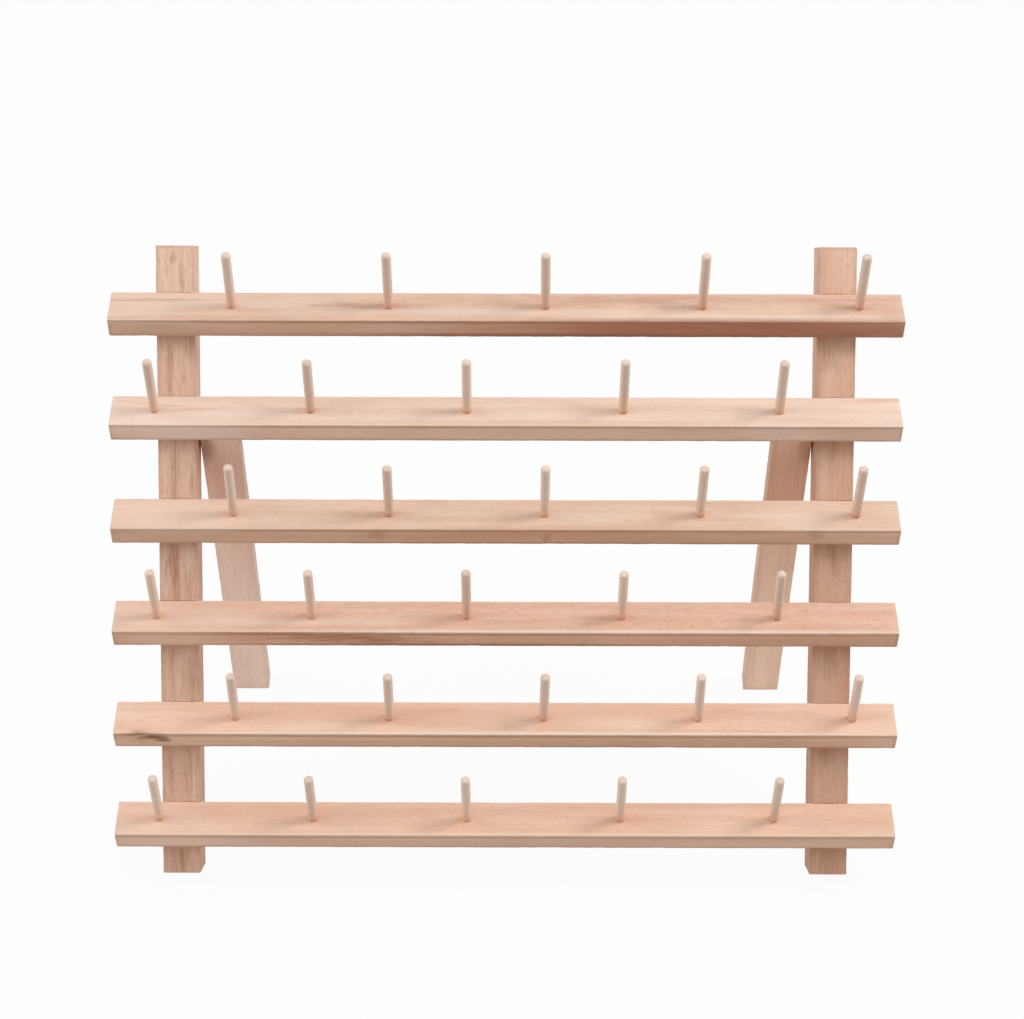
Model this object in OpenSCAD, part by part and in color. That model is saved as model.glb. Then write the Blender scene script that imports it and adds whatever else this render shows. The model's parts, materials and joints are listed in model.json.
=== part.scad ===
// Thread spool rack: tilted rails of pegs let into two uprights, standing on two legs that
// fold flat behind it. X runs along the rails, the front faces -Y and Z is up.
// The origin is on the table, at the middle of the space that the open rack takes up.

/* [Rails] */
// length of a rail, end to end
rail_len = 400; // [370:1:460]
// width of a rail's broad face, which carries the pegs
rail_w = 21; // [18:0.5:24]
// thickness of a rail
rail_t = 11; // [9:0.5:13]
// turn of the broad faces up from the front of the uprights, in degrees
rail_tilt = 48.5; // [44:0.5:53]
// spacing of the rails along the uprights
rail_pitch = 52.5; // [48:0.5:62]
// flat taken off each long edge of the strips
arris = 0.6; // [0.2:0.1:1]

/* [Pegs] */
// diameter of a peg
peg_d = 4.8; // [4.4:0.1:6]
// length of a peg above its rail
peg_out = 35; // [25:1:45]
// distance from the nearer end of a rail to its first peg
peg_end = 22.25; // [15:0.25:45]
// diameter of the tenon under a peg
tenon_d = 4; // [3:0.1:4]
// length of the tenon
tenon_len = 7; // [5:0.5:7.5]
// room for glue around the tenon
glue_gap = 0.05; // [0.03:0.01:0.1]
// room for glue below the tenon
glue_well = 0.6; // [0.3:0.1:1]

/* [Uprights] */
// width of an upright across its front
upright_w = 19.5; // [18:0.5:24]
// thickness of an upright, front to back
upright_t = 20; // [19.5:0.5:24]
// distance from the end of a rail to the middle of the upright
upright_inset = 32.25; // [30:0.25:50]
// upright above the top rail's upper edge
upright_top = 23.5; // [12:0.5:40]
// upright below the bottom rail's upper edge
upright_foot = 38; // [30:0.5:45]

/* [Legs] */
// width of a leg, along X
leg_w = 20; // [16:0.5:24]
// thickness of a leg
leg_t = 11; // [9:0.5:11]
// length of a leg
leg_len = 216; // [190:1:225]
// distance from a leg's top end to its pivot
pivot_end = 13.5; // [12:0.5:16]
// flat across the top front corner, which clears the rail as the leg swings
leg_nose = 4.5; // [4.2:0.1:5]
// room between an open leg's top end and the rail that stops it
stop_gap = 0.3; // [0.3:0.05:0.6]
// room between a folded leg and the rails in front of it
fold_gap = 0.4; // [0.3:0.05:0.6]
// side play of a leg between its washer and its pivot screw's head
side_play = 0.2; // [0.15:0.05:0.4]

/* [Pivots] */
// diameter of the pivot screw's plain shank
pivot_d = 4; // [3.5:0.1:5]
// room for the leg to turn on the shank, all round
pivot_play = 0.06; // [0.03:0.01:0.09]
// diameter of the pivot screw's head
pivot_head_d = 8; // [7.5:0.1:9]
// diameter of the pivot screw's threaded end
pivot_thread_d = 3.4; // [2.6:0.1:3.4]
// length of the threaded end, in the upright
pivot_grip = 15; // [10:0.5:16]
// outer diameter of a washer
washer_d = 10; // [8:0.5:11]
// thickness of a washer
washer_t = 0.8; // [0.5:0.1:1.2]
// room around the shank in the washer and around the head in the leg
head_room = 0.35; // [0.3:0.05:0.5]

/* [Rail screws] */
// diameter of a rail screw
screw_d = 3.5; // [3:0.1:4]
// length of a rail screw, with its head
screw_len = 25; // [22:0.5:26]
// diameter of a rail screw's head
screw_head_d = 7; // [6.5:0.1:8]
// room around a screw in the wood
screw_gap = 0.05; // [0.03:0.01:0.1]
// width of the arms of the cross recess in a head
recess_w = 0.9; // [0.7:0.1:1.2]
// depth of the cross recess
recess_t = 1.2; // [0.8:0.1:1.4]

/* [Hidden] */
$fn = 48;
rails = 6;
pegs = 5;
stop_rail = 2;
// share of the peg's diameter that is the radius of its domed tip
dome_share = 0.54;
// share of a screw head's diameter that its cross recess spans
recess_share = 0.6;
beech = [0.87, 0.74, 0.64];
pale_beech = [0.9, 0.8, 0.71];
steel = [0.72, 0.72, 0.7];

// Places in the rack's own frame: y back from the uprights' front, z up from their feet.
upright_len = upright_top + (rails - 1) * rail_pitch + upright_foot;
upright_x = rail_len / 2 - upright_inset;
inner_face_x = upright_x - upright_w / 2;

// Spacing of the pegs along a rail, which leaves half a space more at one end than at the other.
peg_pitch = (rail_len - 2 * peg_end) / (pegs - 0.5);

// A rail turns about its upper back edge, and its lower back edge is the bottom of the notch.
lay = 90 - rail_tilt;
notch_y = rail_t * cos(rail_tilt);
notch_drop = rail_t * sin(rail_tilt);

// A folded leg lies behind the notches. An open one is square to the underside of its stop rail.
leg_x = inner_face_x - washer_t - side_play - leg_w / 2;
pivot_y = notch_y + fold_gap + leg_t / 2;
pivot_drop = (pivot_end + stop_gap - (pivot_y - notch_y) * cos(rail_tilt)) / sin(rail_tilt);
pivot_z = rail_z(stop_rail) - notch_drop - pivot_drop;

// The rack leans until the back edges of the uprights and the front edges of the legs touch the table.
leg_reach = leg_len - pivot_end;
foot_y = pivot_y + leg_reach * sin(lay) - leg_t / 2 * cos(lay);
foot_z = pivot_z - leg_reach * cos(lay) - leg_t / 2 * sin(lay);
lean = atan2(foot_z, foot_y - upright_t);

// Depth that the leaning rack takes up on the table.
pitch_up = rail_tilt + lean;
rail_front = rail_z(rails) * sin(lean) - rail_w * sin(pitch_up) + arris * cos(pitch_up);
top_back = upright_t * cos(lean) + upright_len * sin(lean);
foot_back = (foot_y + leg_t * cos(lay)) * cos(lean) + (foot_z + leg_t * sin(lay)) * sin(lean);
depth_front = min(0, rail_front);
depth_back = max(top_back, foot_back);

// A shallow cap of this radius closes the peg's tip.
dome_r = peg_d * dome_share;

// Height of a rail's upper back edge, counted from the top rail.
function rail_z(r) = upright_foot + (rails - r) * rail_pitch;

// Place of a peg along its rail. Rails are alike, and every second one is turned end for end.
function peg_x(r, c) = (c - (pegs + 1) / 2) * peg_pitch + (r % 2 == 1 ? 1 : -1) * peg_pitch / 4;

// The rack's own frame, leaned back and set on the table.
module leaned() {
    translate([0, -(depth_front + depth_back) / 2, upright_t * sin(lean)])
        rotate([-lean, 0, 0])
            children();
}

// A rail's frame: y back across the broad face from its upper edge, z out of that face.
module on_rail(r) {
    translate([0, 0, rail_z(r)])
        rotate([lay, 0, 0])
            children();
}

// An open leg's frame: x away from the middle of the rack, z up the leg from its pivot.
module on_leg(side) {
    translate([side * leg_x, pivot_y, pivot_z])
        rotate([lay, 0, 0])
            mirror([side < 0 ? 1 : 0, 0, 0])
                children();
}

// Section of a planed strip with its four edges eased.
module strip_section(w, t) {
    x = w / 2;
    y = t / 2;
    polygon([
        [arris - x, -y], [x - arris, -y], [x, arris - y], [x, y - arris],
        [x - arris, y], [arris - x, y], [-x, y - arris], [-x, arris - y]
    ]);
}

// Outlines of a screw along Z, from its axis: the point at the bottom and the countersunk head at the top.
function screw_point(d) = [[0, 0], [d / 6, 0], [d / 2, d]];
function screw_head(d, head_d, len) = [[d / 2, len - (head_d - d) / 2], [head_d / 2, len], [0, len]];

// Two crossed slots sunk into a head whose flat is at the given height.
module cross_recess(head_d, top) {
    span = head_d * recess_share;
    for (turn = [0, 90])
        rotate([0, 0, turn])
            translate([-span / 2, -recess_w / 2, top - recess_t])
                cube([span, recess_w, recess_t + 1]);
}

// Frames of the rail screws in an upright: z back along the screw, from its point to its head.
module at_rail_screw(r, side) {
    translate([side * upright_x, upright_t - screw_len, rail_z(r) - notch_drop])
        rotate([-90, 0, 0])
            children();
}

module rail_screw() {
    difference() {
        rotate_extrude()
            polygon(concat(screw_point(screw_d), screw_head(screw_d, screw_head_d, screw_len)));
        cross_recess(screw_head_d, screw_len);
    }
}

// Hole that takes a rail screw, through the upright and into the rail.
module rail_screw_hole() {
    bore_d = screw_d + 2 * screw_gap;
    sink_d = screw_head_d + 2 * screw_gap;
    sink_t = (screw_head_d - screw_d) / 2;
    translate([0, 0, -screw_gap])
        cylinder(d = bore_d, h = screw_len + 1);
    translate([0, 0, screw_len - sink_t])
        cylinder(d1 = bore_d, d2 = sink_d, h = sink_t);
}

module upright(side) {
    color(beech)
        leaned()
            difference() {
                translate([side * upright_x, upright_t / 2, 0])
                    linear_extrude(upright_len)
                        strip_section(upright_w, upright_t);
                for (r = [1 : rails]) {
                    on_rail(r)
                        translate([side * upright_x - upright_w, -rail_w, -rail_t])
                            cube([2 * upright_w, rail_w, 2 * rail_t]);
                    at_rail_screw(r, side)
                        rail_screw_hole();
                }
                translate([side * inner_face_x, pivot_y, pivot_z])
                    rotate([0, side * 90, 0])
                        translate([0, 0, -1])
                            cylinder(d = pivot_thread_d + 2 * screw_gap, h = pivot_grip + 1 + screw_gap);
            }
}

module rail(r) {
    color(beech)
        leaned()
            difference() {
                on_rail(r)
                    translate([-rail_len / 2, -rail_w / 2, -rail_t / 2])
                        rotate([90, 0, 90])
                            linear_extrude(rail_len)
                                strip_section(rail_w, rail_t);
                for (c = [1 : pegs])
                    on_rail(r)
                        translate([peg_x(r, c), -rail_w / 2, -tenon_len - glue_well])
                            cylinder(d = tenon_d + 2 * glue_gap, h = tenon_len + glue_well + 1);
                for (side = [-1, 1])
                    at_rail_screw(r, side)
                        rail_screw_hole();
            }
}

// A peg stands on its shoulder, with its tip closed by a dome.
module peg(r, c) {
    color(pale_beech)
        leaned()
            on_rail(r)
                translate([peg_x(r, c), -rail_w / 2, 0])
                    rotate_extrude() {
                        translate([0, -tenon_len])
                            square([tenon_d / 2, tenon_len + 1]);
                        intersection() {
                            square([peg_d / 2, peg_out]);
                            union() {
                                square([(peg_d / 2 + dome_r) / 2, peg_out - dome_r]);
                                translate([0, peg_out - dome_r])
                                    circle(dome_r);
                            }
                        }
                    }
}

// A leg has its pivot bored across it, countersunk on the inner side for the screw's head.
module leg(side) {
    sink_d = pivot_head_d + 2 * head_room * sqrt(2);
    bore_d = pivot_d + 2 * pivot_play;
    color(beech)
        leaned()
            on_leg(side)
                difference() {
                    translate([0, 0, -leg_reach])
                        linear_extrude(leg_len)
                            strip_section(leg_w, leg_t);
                    translate([0, -leg_t / 2, pivot_end])
                        rotate([45, 0, 0])
                            cube([2 * leg_w, leg_nose * sqrt(2), leg_nose * sqrt(2)], center = true);
                    rotate([0, 90, 0])
                        cylinder(d = bore_d, h = 2 * leg_w, center = true);
                    translate([-leg_w / 2, 0, 0])
                        rotate([0, 90, 0])
                            cylinder(d1 = sink_d, d2 = bore_d, h = (sink_d - bore_d) / 2);
                }
}

module washer(side) {
    color(steel)
        leaned()
            translate([side * (inner_face_x - washer_t), pivot_y, pivot_z])
                rotate([0, side * 90, 0])
                    difference() {
                        cylinder(d = washer_d, h = washer_t);
                        translate([0, 0, -1])
                            cylinder(d = pivot_d + 2 * head_room, h = washer_t + 2);
                    }
}

// The head is flush with the leg's inner side, and the threaded end is fast in the upright.
module pivot_screw(side) {
    len = pivot_grip + washer_t + side_play + leg_w;
    step = [[pivot_thread_d / 2, pivot_grip], [pivot_d / 2, pivot_grip]];
    head = screw_head(pivot_d, pivot_head_d, len);
    color(steel)
        leaned()
            translate([side * (inner_face_x + pivot_grip), pivot_y, pivot_z])
                rotate([0, -side * 90, 0])
                    difference() {
                        rotate_extrude()
                            polygon(concat(screw_point(pivot_thread_d), step, head));
                        cross_recess(pivot_head_d, len);
                    }
}

module rail_screws(side) {
    color(steel)
        leaned()
            for (r = [1 : rails])
                at_rail_screw(r, side)
                    rail_screw();
}

for (side = [-1, 1]) {
    name = side < 0 ? "left" : "right";
    upright(side);
    leg(side);
    washer(side);
    pivot_screw(side);
    rail_screws(side);
}
for (r = [1 : rails]) {
    rail(r);
    for (c = [1 : pegs])
        peg(r, c);
}
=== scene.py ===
"""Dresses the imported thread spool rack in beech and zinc-plated steel, on a white stage.

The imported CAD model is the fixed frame. Every strip, peg and screw is built where its CAD node
is, from the node's own extent, so a rack packed with other sizes is dressed by the same file.
"""

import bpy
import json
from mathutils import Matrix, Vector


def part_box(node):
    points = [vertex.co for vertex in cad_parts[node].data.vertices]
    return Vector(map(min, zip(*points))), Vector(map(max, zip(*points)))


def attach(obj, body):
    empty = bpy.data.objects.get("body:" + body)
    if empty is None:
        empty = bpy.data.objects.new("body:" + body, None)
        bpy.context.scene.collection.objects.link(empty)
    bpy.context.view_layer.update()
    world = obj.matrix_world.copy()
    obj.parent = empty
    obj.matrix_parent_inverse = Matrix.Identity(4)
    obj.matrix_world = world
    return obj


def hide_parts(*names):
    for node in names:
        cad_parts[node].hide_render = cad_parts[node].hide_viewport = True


bl_info = {
    "name": "Thread spool rack",
    "version": (1, 0, 0),
    "blender": (4, 5, 0),
    "location": "View3D > Sidebar > Spool rack",
    "description": "Beech rails, uprights, legs and pegs with their screws, on a white stage",
    "category": "Object",
}

import json
import math
from collections import namedtuple

import bpy
from mathutils import Matrix, Vector

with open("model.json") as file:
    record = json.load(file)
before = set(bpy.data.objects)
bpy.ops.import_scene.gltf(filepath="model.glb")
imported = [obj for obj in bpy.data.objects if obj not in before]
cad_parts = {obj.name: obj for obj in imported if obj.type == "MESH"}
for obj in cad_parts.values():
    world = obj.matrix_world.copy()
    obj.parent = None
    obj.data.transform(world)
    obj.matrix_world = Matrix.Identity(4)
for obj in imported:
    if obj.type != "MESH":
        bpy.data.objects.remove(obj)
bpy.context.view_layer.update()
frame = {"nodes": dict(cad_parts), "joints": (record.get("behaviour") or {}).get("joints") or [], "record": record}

MM = 0.001
MOUNTS = {mount["name"]: mount for mount in frame["record"]["mounts"]}
RAIL_AXIS = Vector((1.0, 0.0, 0.0))
PEG_AXIS = Vector(MOUNTS["peg_1_1"]["axis"]).normalized()
BACK = Vector(MOUNTS["back_left"]["axis"]).normalized()
PIVOT = Vector(frame["joints"][0]["pos_m"])
SIDES = {"left": -1, "right": 1}
# the rails are counted from the top
RAILS = range(1, 7)


def linear(code):
    """Linear colour of an sRGB hex code."""
    parts = [int(code[i : i + 2], 16) / 255 for i in (0, 2, 4)]
    return tuple(c / 12.92 if c <= 0.04045 else ((c + 0.055) / 1.055) ** 2.4 for c in parts)


def board_turn(grain, face):
    """Turn of a strip: X runs along its grain and Z comes out of its face."""
    return Matrix((grain, face.cross(grain), face)).transposed()


RAIL_TURN = board_turn(RAIL_AXIS, PEG_AXIS)
UPRIGHT_TURN = board_turn(RAIL_AXIS.cross(BACK), -BACK)
# an open leg stands square to the faces of the rails, as the pegs do
LEG_TURN = board_turn(PEG_AXIS, RAIL_AXIS.cross(PEG_AXIS))


def seat(node, turn):
    """Placing matrix of a CAD node's middle in a turn, and its length, width and thickness there."""
    corners = [turn.transposed() @ v.co for v in frame["nodes"][node].data.vertices]
    low = Vector([min(c[i] for c in corners) for i in range(3)])
    high = Vector([max(c[i] for c in corners) for i in range(3)])
    place = turn.to_4x4()
    place.translation = turn @ ((low + high) / 2)
    return place, high - low


def notch_corners(side):
    """The bottom of each notch of an upright, in the upright's own frame, and the size of the rails."""
    place, _ = seat("upright_" + side, UPRIGHT_TURN)
    corners = []
    for r in RAILS:
        rail_place, rail_size = seat("rail_%d" % r, RAIL_TURN)
        # the lower back edge of the rail is the bottom of its notch
        corner = place.inverted() @ rail_place @ Vector((0, rail_size.y / 2, -rail_size.z / 2))
        corners.append(Vector((corner.x, 0.0, corner.z)))
    return corners, rail_size


# Settings


def length(name, description, millimetres):
    """A length that the user may change, given in millimetres."""
    return bpy.props.FloatProperty(
        name=name, description=description, default=millimetres * MM, min=0.0, unit="LENGTH", precision=5
    )


def colour(name, description, code):
    """A colour that the user may change, given as an sRGB hex code."""
    return bpy.props.FloatVectorProperty(
        name=name, description=description, default=linear(code), min=0.0, max=1.0, subtype="COLOR"
    )


def power(name, description, watts):
    """The power of a lamp."""
    return bpy.props.FloatProperty(name=name, description=description, default=watts, min=0.0, unit="POWER")


class WoodSettings(bpy.types.PropertyGroup):
    """Sizes and tones of the beech strips and pegs."""

    arris: length("Arris", "Radius sanded on the long edges", 0.5)
    end_ease: length("End ease", "Flat sanded on the edges of the sawn ends", 0.35)
    wear: length("Wear", "Most that sanding has taken off the edges", 0.22)
    station: length("Station", "Spacing of the mesh along a strip", 1.6)
    nose: length("Nose", "Flat across the top front corner of a leg", 4.5)
    foot_ease: length("Foot ease", "Flat round the foot of a peg", 0.15)
    rail_1: colour("Rail 1", "Tone of the top rail", "EDCBB7")
    rail_2: colour("Rail 2", "Tone of the second rail", "F7DECC")
    rail_3: colour("Rail 3", "Tone of the third rail", "F0D1BD")
    rail_4: colour("Rail 4", "Tone of the fourth rail", "F3CDB7")
    rail_5: colour("Rail 5", "Tone of the fifth rail", "FBD8C1")
    rail_6: colour("Rail 6", "Tone of the bottom rail", "F7D2BA")
    upright_left: colour("Left upright", "Tone of the left upright", "FBDAC6")
    upright_right: colour("Right upright", "Tone of the right upright", "EFC9B1")
    leg_left: colour("Left leg", "Tone of the left leg", "FEE5D6")
    leg_right: colour("Right leg", "Tone of the right leg", "FBDDC8")
    # peg tones: painted shade at the base, painted bounce light at the foot, a painted highlight at the tip
    peg_base_shade: colour("Peg base", "Painted shade where a peg meets its rail", "DEB297")
    peg_foot_bounce: colour("Peg foot", "Painted warm bounce light on a peg above its base", "F8D0B4")
    peg_middle: colour("Peg", "Tone of a peg", "EBD7C7")
    peg_tip_highlight: colour("Peg tip", "Painted highlight on the tip of a peg", "F4DECE")


class SteelSettings(bpy.types.PropertyGroup):
    """Sizes and tones of the screws and washers."""

    rail_screw: length("Rail screw", "Diameter of the screws that hold the rails", 3.5)
    pivot_screw: length("Pivot screw", "Diameter of the screws that the legs turn on", 4.0)
    rim: length("Rim", "Flat round the edge of a screw's head", 0.18)
    recess_width: length("Recess width", "Width of the arms of the cross recess", 0.9)
    recess_depth: length("Recess depth", "Depth of the cross recess", 1.2)
    washer_bore: length("Washer bore", "Diameter of the hole in a washer", 4.7)
    washer_roll: length("Washer roll", "Radius of the rolled edges of a washer", 0.15)
    tone: colour("Zinc", "Tone of the dulled yellowish zinc plating", "A3937F")
    # brown tint on the pivot screws and washers: painted shade where the leg meets its upright
    shade_tinted: colour("Browned zinc", "Painted shade on the plating of the pivot screws and washers", "94694E")


class StageSettings(bpy.types.PropertyGroup):
    """Light and camera of the studio."""

    right_power: power("Right softbox", "Power of the small softbox on the right", 5.5)
    left_power: power("Left softbox", "Power of the large softbox on the left", 4.2)
    sky: bpy.props.FloatProperty(
        name="Room light", description="Strength of the even light of the white room", default=0.58, min=0.0
    )
    lens: bpy.props.FloatProperty(
        name="Lens", description="Focal length of the camera", default=80.5, min=10.0, unit="CAMERA"
    )
    camera_place: bpy.props.FloatVectorProperty(
        name="Camera place", description="Where the camera stands", subtype="TRANSLATION", unit="LENGTH",
        default=(0.00308, -0.94353, 0.85897),
    )
    camera_turn: bpy.props.FloatVectorProperty(
        name="Camera turn", description="How the camera is turned", subtype="EULER",
        default=(math.radians(54.23), math.radians(-0.126), math.radians(0.0858)),
    )


# Nodes

MATH = "ShaderNodeMath"
VECTOR = "ShaderNodeVectorMath"
JOIN = "ShaderNodeCombineXYZ"
SPLIT = "ShaderNodeSeparateXYZ"
RANGE = "ShaderNodeMapRange"
NOISE = "ShaderNodeTexNoise"
MIX = "ShaderNodeMix"
POSITION = "GeometryNodeInputPosition"
MOVE = "GeometryNodeSetPosition"
TRANSFORM = "GeometryNodeTransform"
ON_POINTS = "GeometryNodeInstanceOnPoints"
REALIZE = "GeometryNodeRealizeInstances"
JOIN_MESHES = "GeometryNodeJoinGeometry"
STORE = "GeometryNodeStoreNamedAttribute"
NAMED = "GeometryNodeInputNamedAttribute"
BOOLEAN = "GeometryNodeMeshBoolean"
CONE = "GeometryNodeMeshCone"
CYLINDER = "GeometryNodeMeshCylinder"
MERGE = "GeometryNodeMergeByDistance"
SWEEP = "GeometryNodeCurveToMesh"
ALIGN = "FunctionNodeAlignRotationToVector"
TURN = "FunctionNodeRotateRotation"
RANDOM = "FunctionNodeRandomValue"
RAMP = "ShaderNodeValToRGB"
ATTRIBUTE = "ShaderNodeAttribute"
# inputs of a colour Mix: the share of the second colour, and the two colours
SHARE, FIRST, SECOND = 0, 6, 7
# inputs of a Random Value: the least and the most of a vector, and those of a number
LEAST_VECTOR, MOST_VECTOR, LEAST, MOST = 0, 1, 2, 3

# faces that meet at more than this keep a sharp edge
SHARP_ANGLE = math.radians(38)


def feed(tree, node, inputs):
    """Gives a node's inputs, by place or by name, a value, a node, a socket or a list of these."""
    for key, value in inputs.items() if isinstance(inputs, dict) else enumerate(inputs):
        for source in value if isinstance(value, list) else [value]:
            if isinstance(source, bpy.types.Node):
                source = next(socket for socket in source.outputs if socket.enabled)
            if isinstance(source, bpy.types.NodeSocket):
                tree.links.new(source, node.inputs[key])
            else:
                node.inputs[key].default_value = source


def add(tree, kind, inputs=(), **settings):
    """Adds a node with its settings, and feeds its inputs."""
    node = tree.nodes.new(kind)
    for key, value in settings.items():
        setattr(node, key, value)
    feed(tree, node, inputs)
    return node


def new_tree(name, kind, inputs, outputs):
    """A node group with named inputs and outputs, and the sockets that its inputs give."""
    tree = bpy.data.node_groups.new(name, kind)
    for way, sockets in (("OUTPUT", outputs), ("INPUT", inputs)):
        for label, socket in sockets.items():
            tree.interface.new_socket(label, in_out=way, socket_type="NodeSocket" + socket)
    return tree, add(tree, "NodeGroupInput").outputs


def mesh_tree(name, sizes):
    """A geometry tree that takes points and sizes."""
    return new_tree(name, "GeometryNodeTree", {"Geometry": "Geometry", **sizes}, {"Geometry": "Geometry"})


def end_mesh(tree, geometry, material):
    """Ends a geometry tree in plain geometry with its material."""
    real = add(tree, REALIZE, [geometry])
    finished = add(tree, "GeometryNodeSetMaterial", {"Geometry": real, "Material": material})
    add(tree, "NodeGroupOutput", {"Geometry": finished})
    return tree


def shared(name, build):
    """The node group of a name, built the first time that it is asked for."""
    return bpy.data.node_groups.get(name) or build(name)


def grow(name, tree, sizes, points=()):
    """Runs a tree on points, each a place and an axis, and leaves the result as a plain mesh."""
    mesh = bpy.data.meshes.new(name)
    mesh.from_pydata([place for place, _ in points], [], [])
    axes = mesh.attributes.new("axis", "FLOAT_VECTOR", "POINT")
    for item, (_, axis) in zip(axes.data, points):
        item.vector = axis
    piece = bpy.data.objects.new(name, mesh)
    bpy.context.scene.collection.objects.link(piece)
    modifier = piece.modifiers.new(tree.name, "NODES")
    modifier.node_group = tree
    for socket in tree.interface.items_tree:
        if socket.in_out == "INPUT" and socket.name in sizes:
            modifier[socket.identifier] = sizes[socket.name]
    made = bpy.data.meshes.new_from_object(piece.evaluated_get(bpy.context.evaluated_depsgraph_get()))
    piece.modifiers.remove(modifier)
    piece.data = made
    bpy.data.meshes.remove(mesh)
    made.name = name
    # a mesh that starts from a primitive brings an empty first slot
    if made.materials[0] is None:
        made.materials.pop(index=0)
    if not made.polygons:
        raise RuntimeError(name + " came out empty")
    made.shade_smooth()
    made.set_sharp_from_angle(angle=SHARP_ANGLE)
    return piece


def finish_piece(piece, body, nodes):
    """Rides a finished piece on its body in place of its CAD nodes."""
    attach(piece, body)
    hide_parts(*nodes)


# Trees of the strips

STRIP_SIZES = {
    "Length": "Float", "Width": "Float", "Thickness": "Float",
    "Around": "Int", "Station": "Float", "Arris": "Float", "End Ease": "Float", "Wear": "Float",
    "Chip Place": "Vector", "Chip Reach": "Vector", "Chip Depth": "Float",
    "Seed": "Float", "Material": "Material",
}
FLIP = (-1.0, -1.0, -1.0)
HALF = (0.5, 0.5, 0.5)
# a strip is drawn from a round bar, whose radius is this share of the strip's width
BAR_SHARE = 0.75
# sanding starts this far from an edge, and goes deepest this near to it
EDGE_FAR = 2.6 * MM
EDGE_NEAR = 0.5 * MM
# wear comes and goes along the edges over these lengths
SLOW_WEAR = 14 * MM
QUICK_WEAR = 4 * MM
# the product of the two noises of wear gives its share, which is nowhere under 0.15
WEAR_RANGE = {"From Min": 0.12, "From Max": 0.5, "To Min": 0.15}
# a chip starts at the first distance, in its reaches plus a noise, and is deepest within the second
CHIP_RANGE = {"From Min": 1.75, "From Max": 1.05}
# sides of a round hole, screw or washer, and of the narrower bore of a leg
FACETS = 48
BORE_FACETS = 32
# a cutter's mouth stands this far out of the wood, so that no two faces lie in one plane
PROUD = 0.1 * MM


def rounded_bar(tree, given, half):
    """A round bar along X, drawn on to the strip's rounded section and stepped in at its sawn ends."""
    depth = add(tree, MATH, [given["End Ease"], -2.0, given["Length"]], operation="MULTIPLY_ADD")
    steps = add(tree, MATH, [given["Length"], given["Station"]], operation="DIVIDE")
    bar = add(tree, CYLINDER, {
        "Vertices": given["Around"], "Side Segments": steps, "Radius": 1.0, "Depth": depth,
    }, fill_type="TRIANGLE_FAN")
    ends = [bar.outputs["Top"], bar.outputs["Bottom"]]
    caps = add(tree, "FunctionNodeBooleanMath", ends, operation="OR")

    # each point of the bar goes to the nearest point of a core, and out again by the arris
    arris = add(tree, JOIN, {"Y": given["Arris"], "Z": given["Arris"]})
    core = add(tree, VECTOR, [half, arris], operation="SUBTRACT")
    core_low = add(tree, VECTOR, [core, FLIP], operation="MULTIPLY")
    where = add(tree, SPLIT, [add(tree, POSITION)]).outputs
    wide = add(tree, MATH, [given["Width"], BAR_SHARE], operation="MULTIPLY")
    far_y = add(tree, MATH, [where["X"], wide], operation="MULTIPLY")
    far_z = add(tree, MATH, [where["Y"], wide], operation="MULTIPLY")
    far = add(tree, JOIN, [where["Z"], far_y, far_z])
    near = add(tree, VECTOR, [far, core], operation="MINIMUM")
    near = add(tree, VECTOR, [near, core_low], operation="MAXIMUM")
    away = add(tree, VECTOR, [far, near], operation="SUBTRACT")
    away = add(tree, VECTOR, [away], operation="NORMALIZE")
    skin = add(tree, VECTOR, [away, arris, near], operation="MULTIPLY_ADD")
    shaped = add(tree, MOVE, {"Geometry": bar.outputs["Mesh"], "Position": skin})

    # the sawn ends step in by the ease, which leaves a narrow flat round them
    pushed = add(tree, "GeometryNodeExtrudeMesh", {
        "Mesh": shaped, "Selection": caps, "Offset Scale": given["End Ease"], "Individual": False,
    })
    ease = add(tree, JOIN, {"Y": given["End Ease"], "Z": given["End Ease"]})
    share = add(tree, VECTOR, [half, ease], operation="SUBTRACT")
    share = add(tree, VECTOR, [share, half], operation="DIVIDE")
    drawn = add(tree, VECTOR, [add(tree, POSITION), share], operation="MULTIPLY")
    return add(tree, MOVE, {
        "Geometry": pushed.outputs["Mesh"], "Selection": pushed.outputs["Top"], "Position": drawn,
    })


def edge_nearness(tree, half):
    """A number that is 1 at the edges of a strip and 0 away from them."""
    # the distance to an edge is the second smallest of those to the three pairs of faces
    from_middle = add(tree, VECTOR, [add(tree, POSITION)], operation="ABSOLUTE")
    inside = add(tree, SPLIT, [add(tree, VECTOR, [half, from_middle], operation="SUBTRACT")]).outputs
    low = add(tree, MATH, [inside["Y"], inside["Z"]], operation="MINIMUM")
    high = add(tree, MATH, [inside["Y"], inside["Z"]], operation="MAXIMUM")
    high = add(tree, MATH, [high, inside["X"]], operation="MINIMUM")
    second = add(tree, MATH, [low, high], operation="MAXIMUM")
    return add(tree, RANGE, {
        "Value": second, "From Min": EDGE_FAR, "From Max": EDGE_NEAR,
    }, interpolation_type="SMOOTHSTEP")


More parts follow.
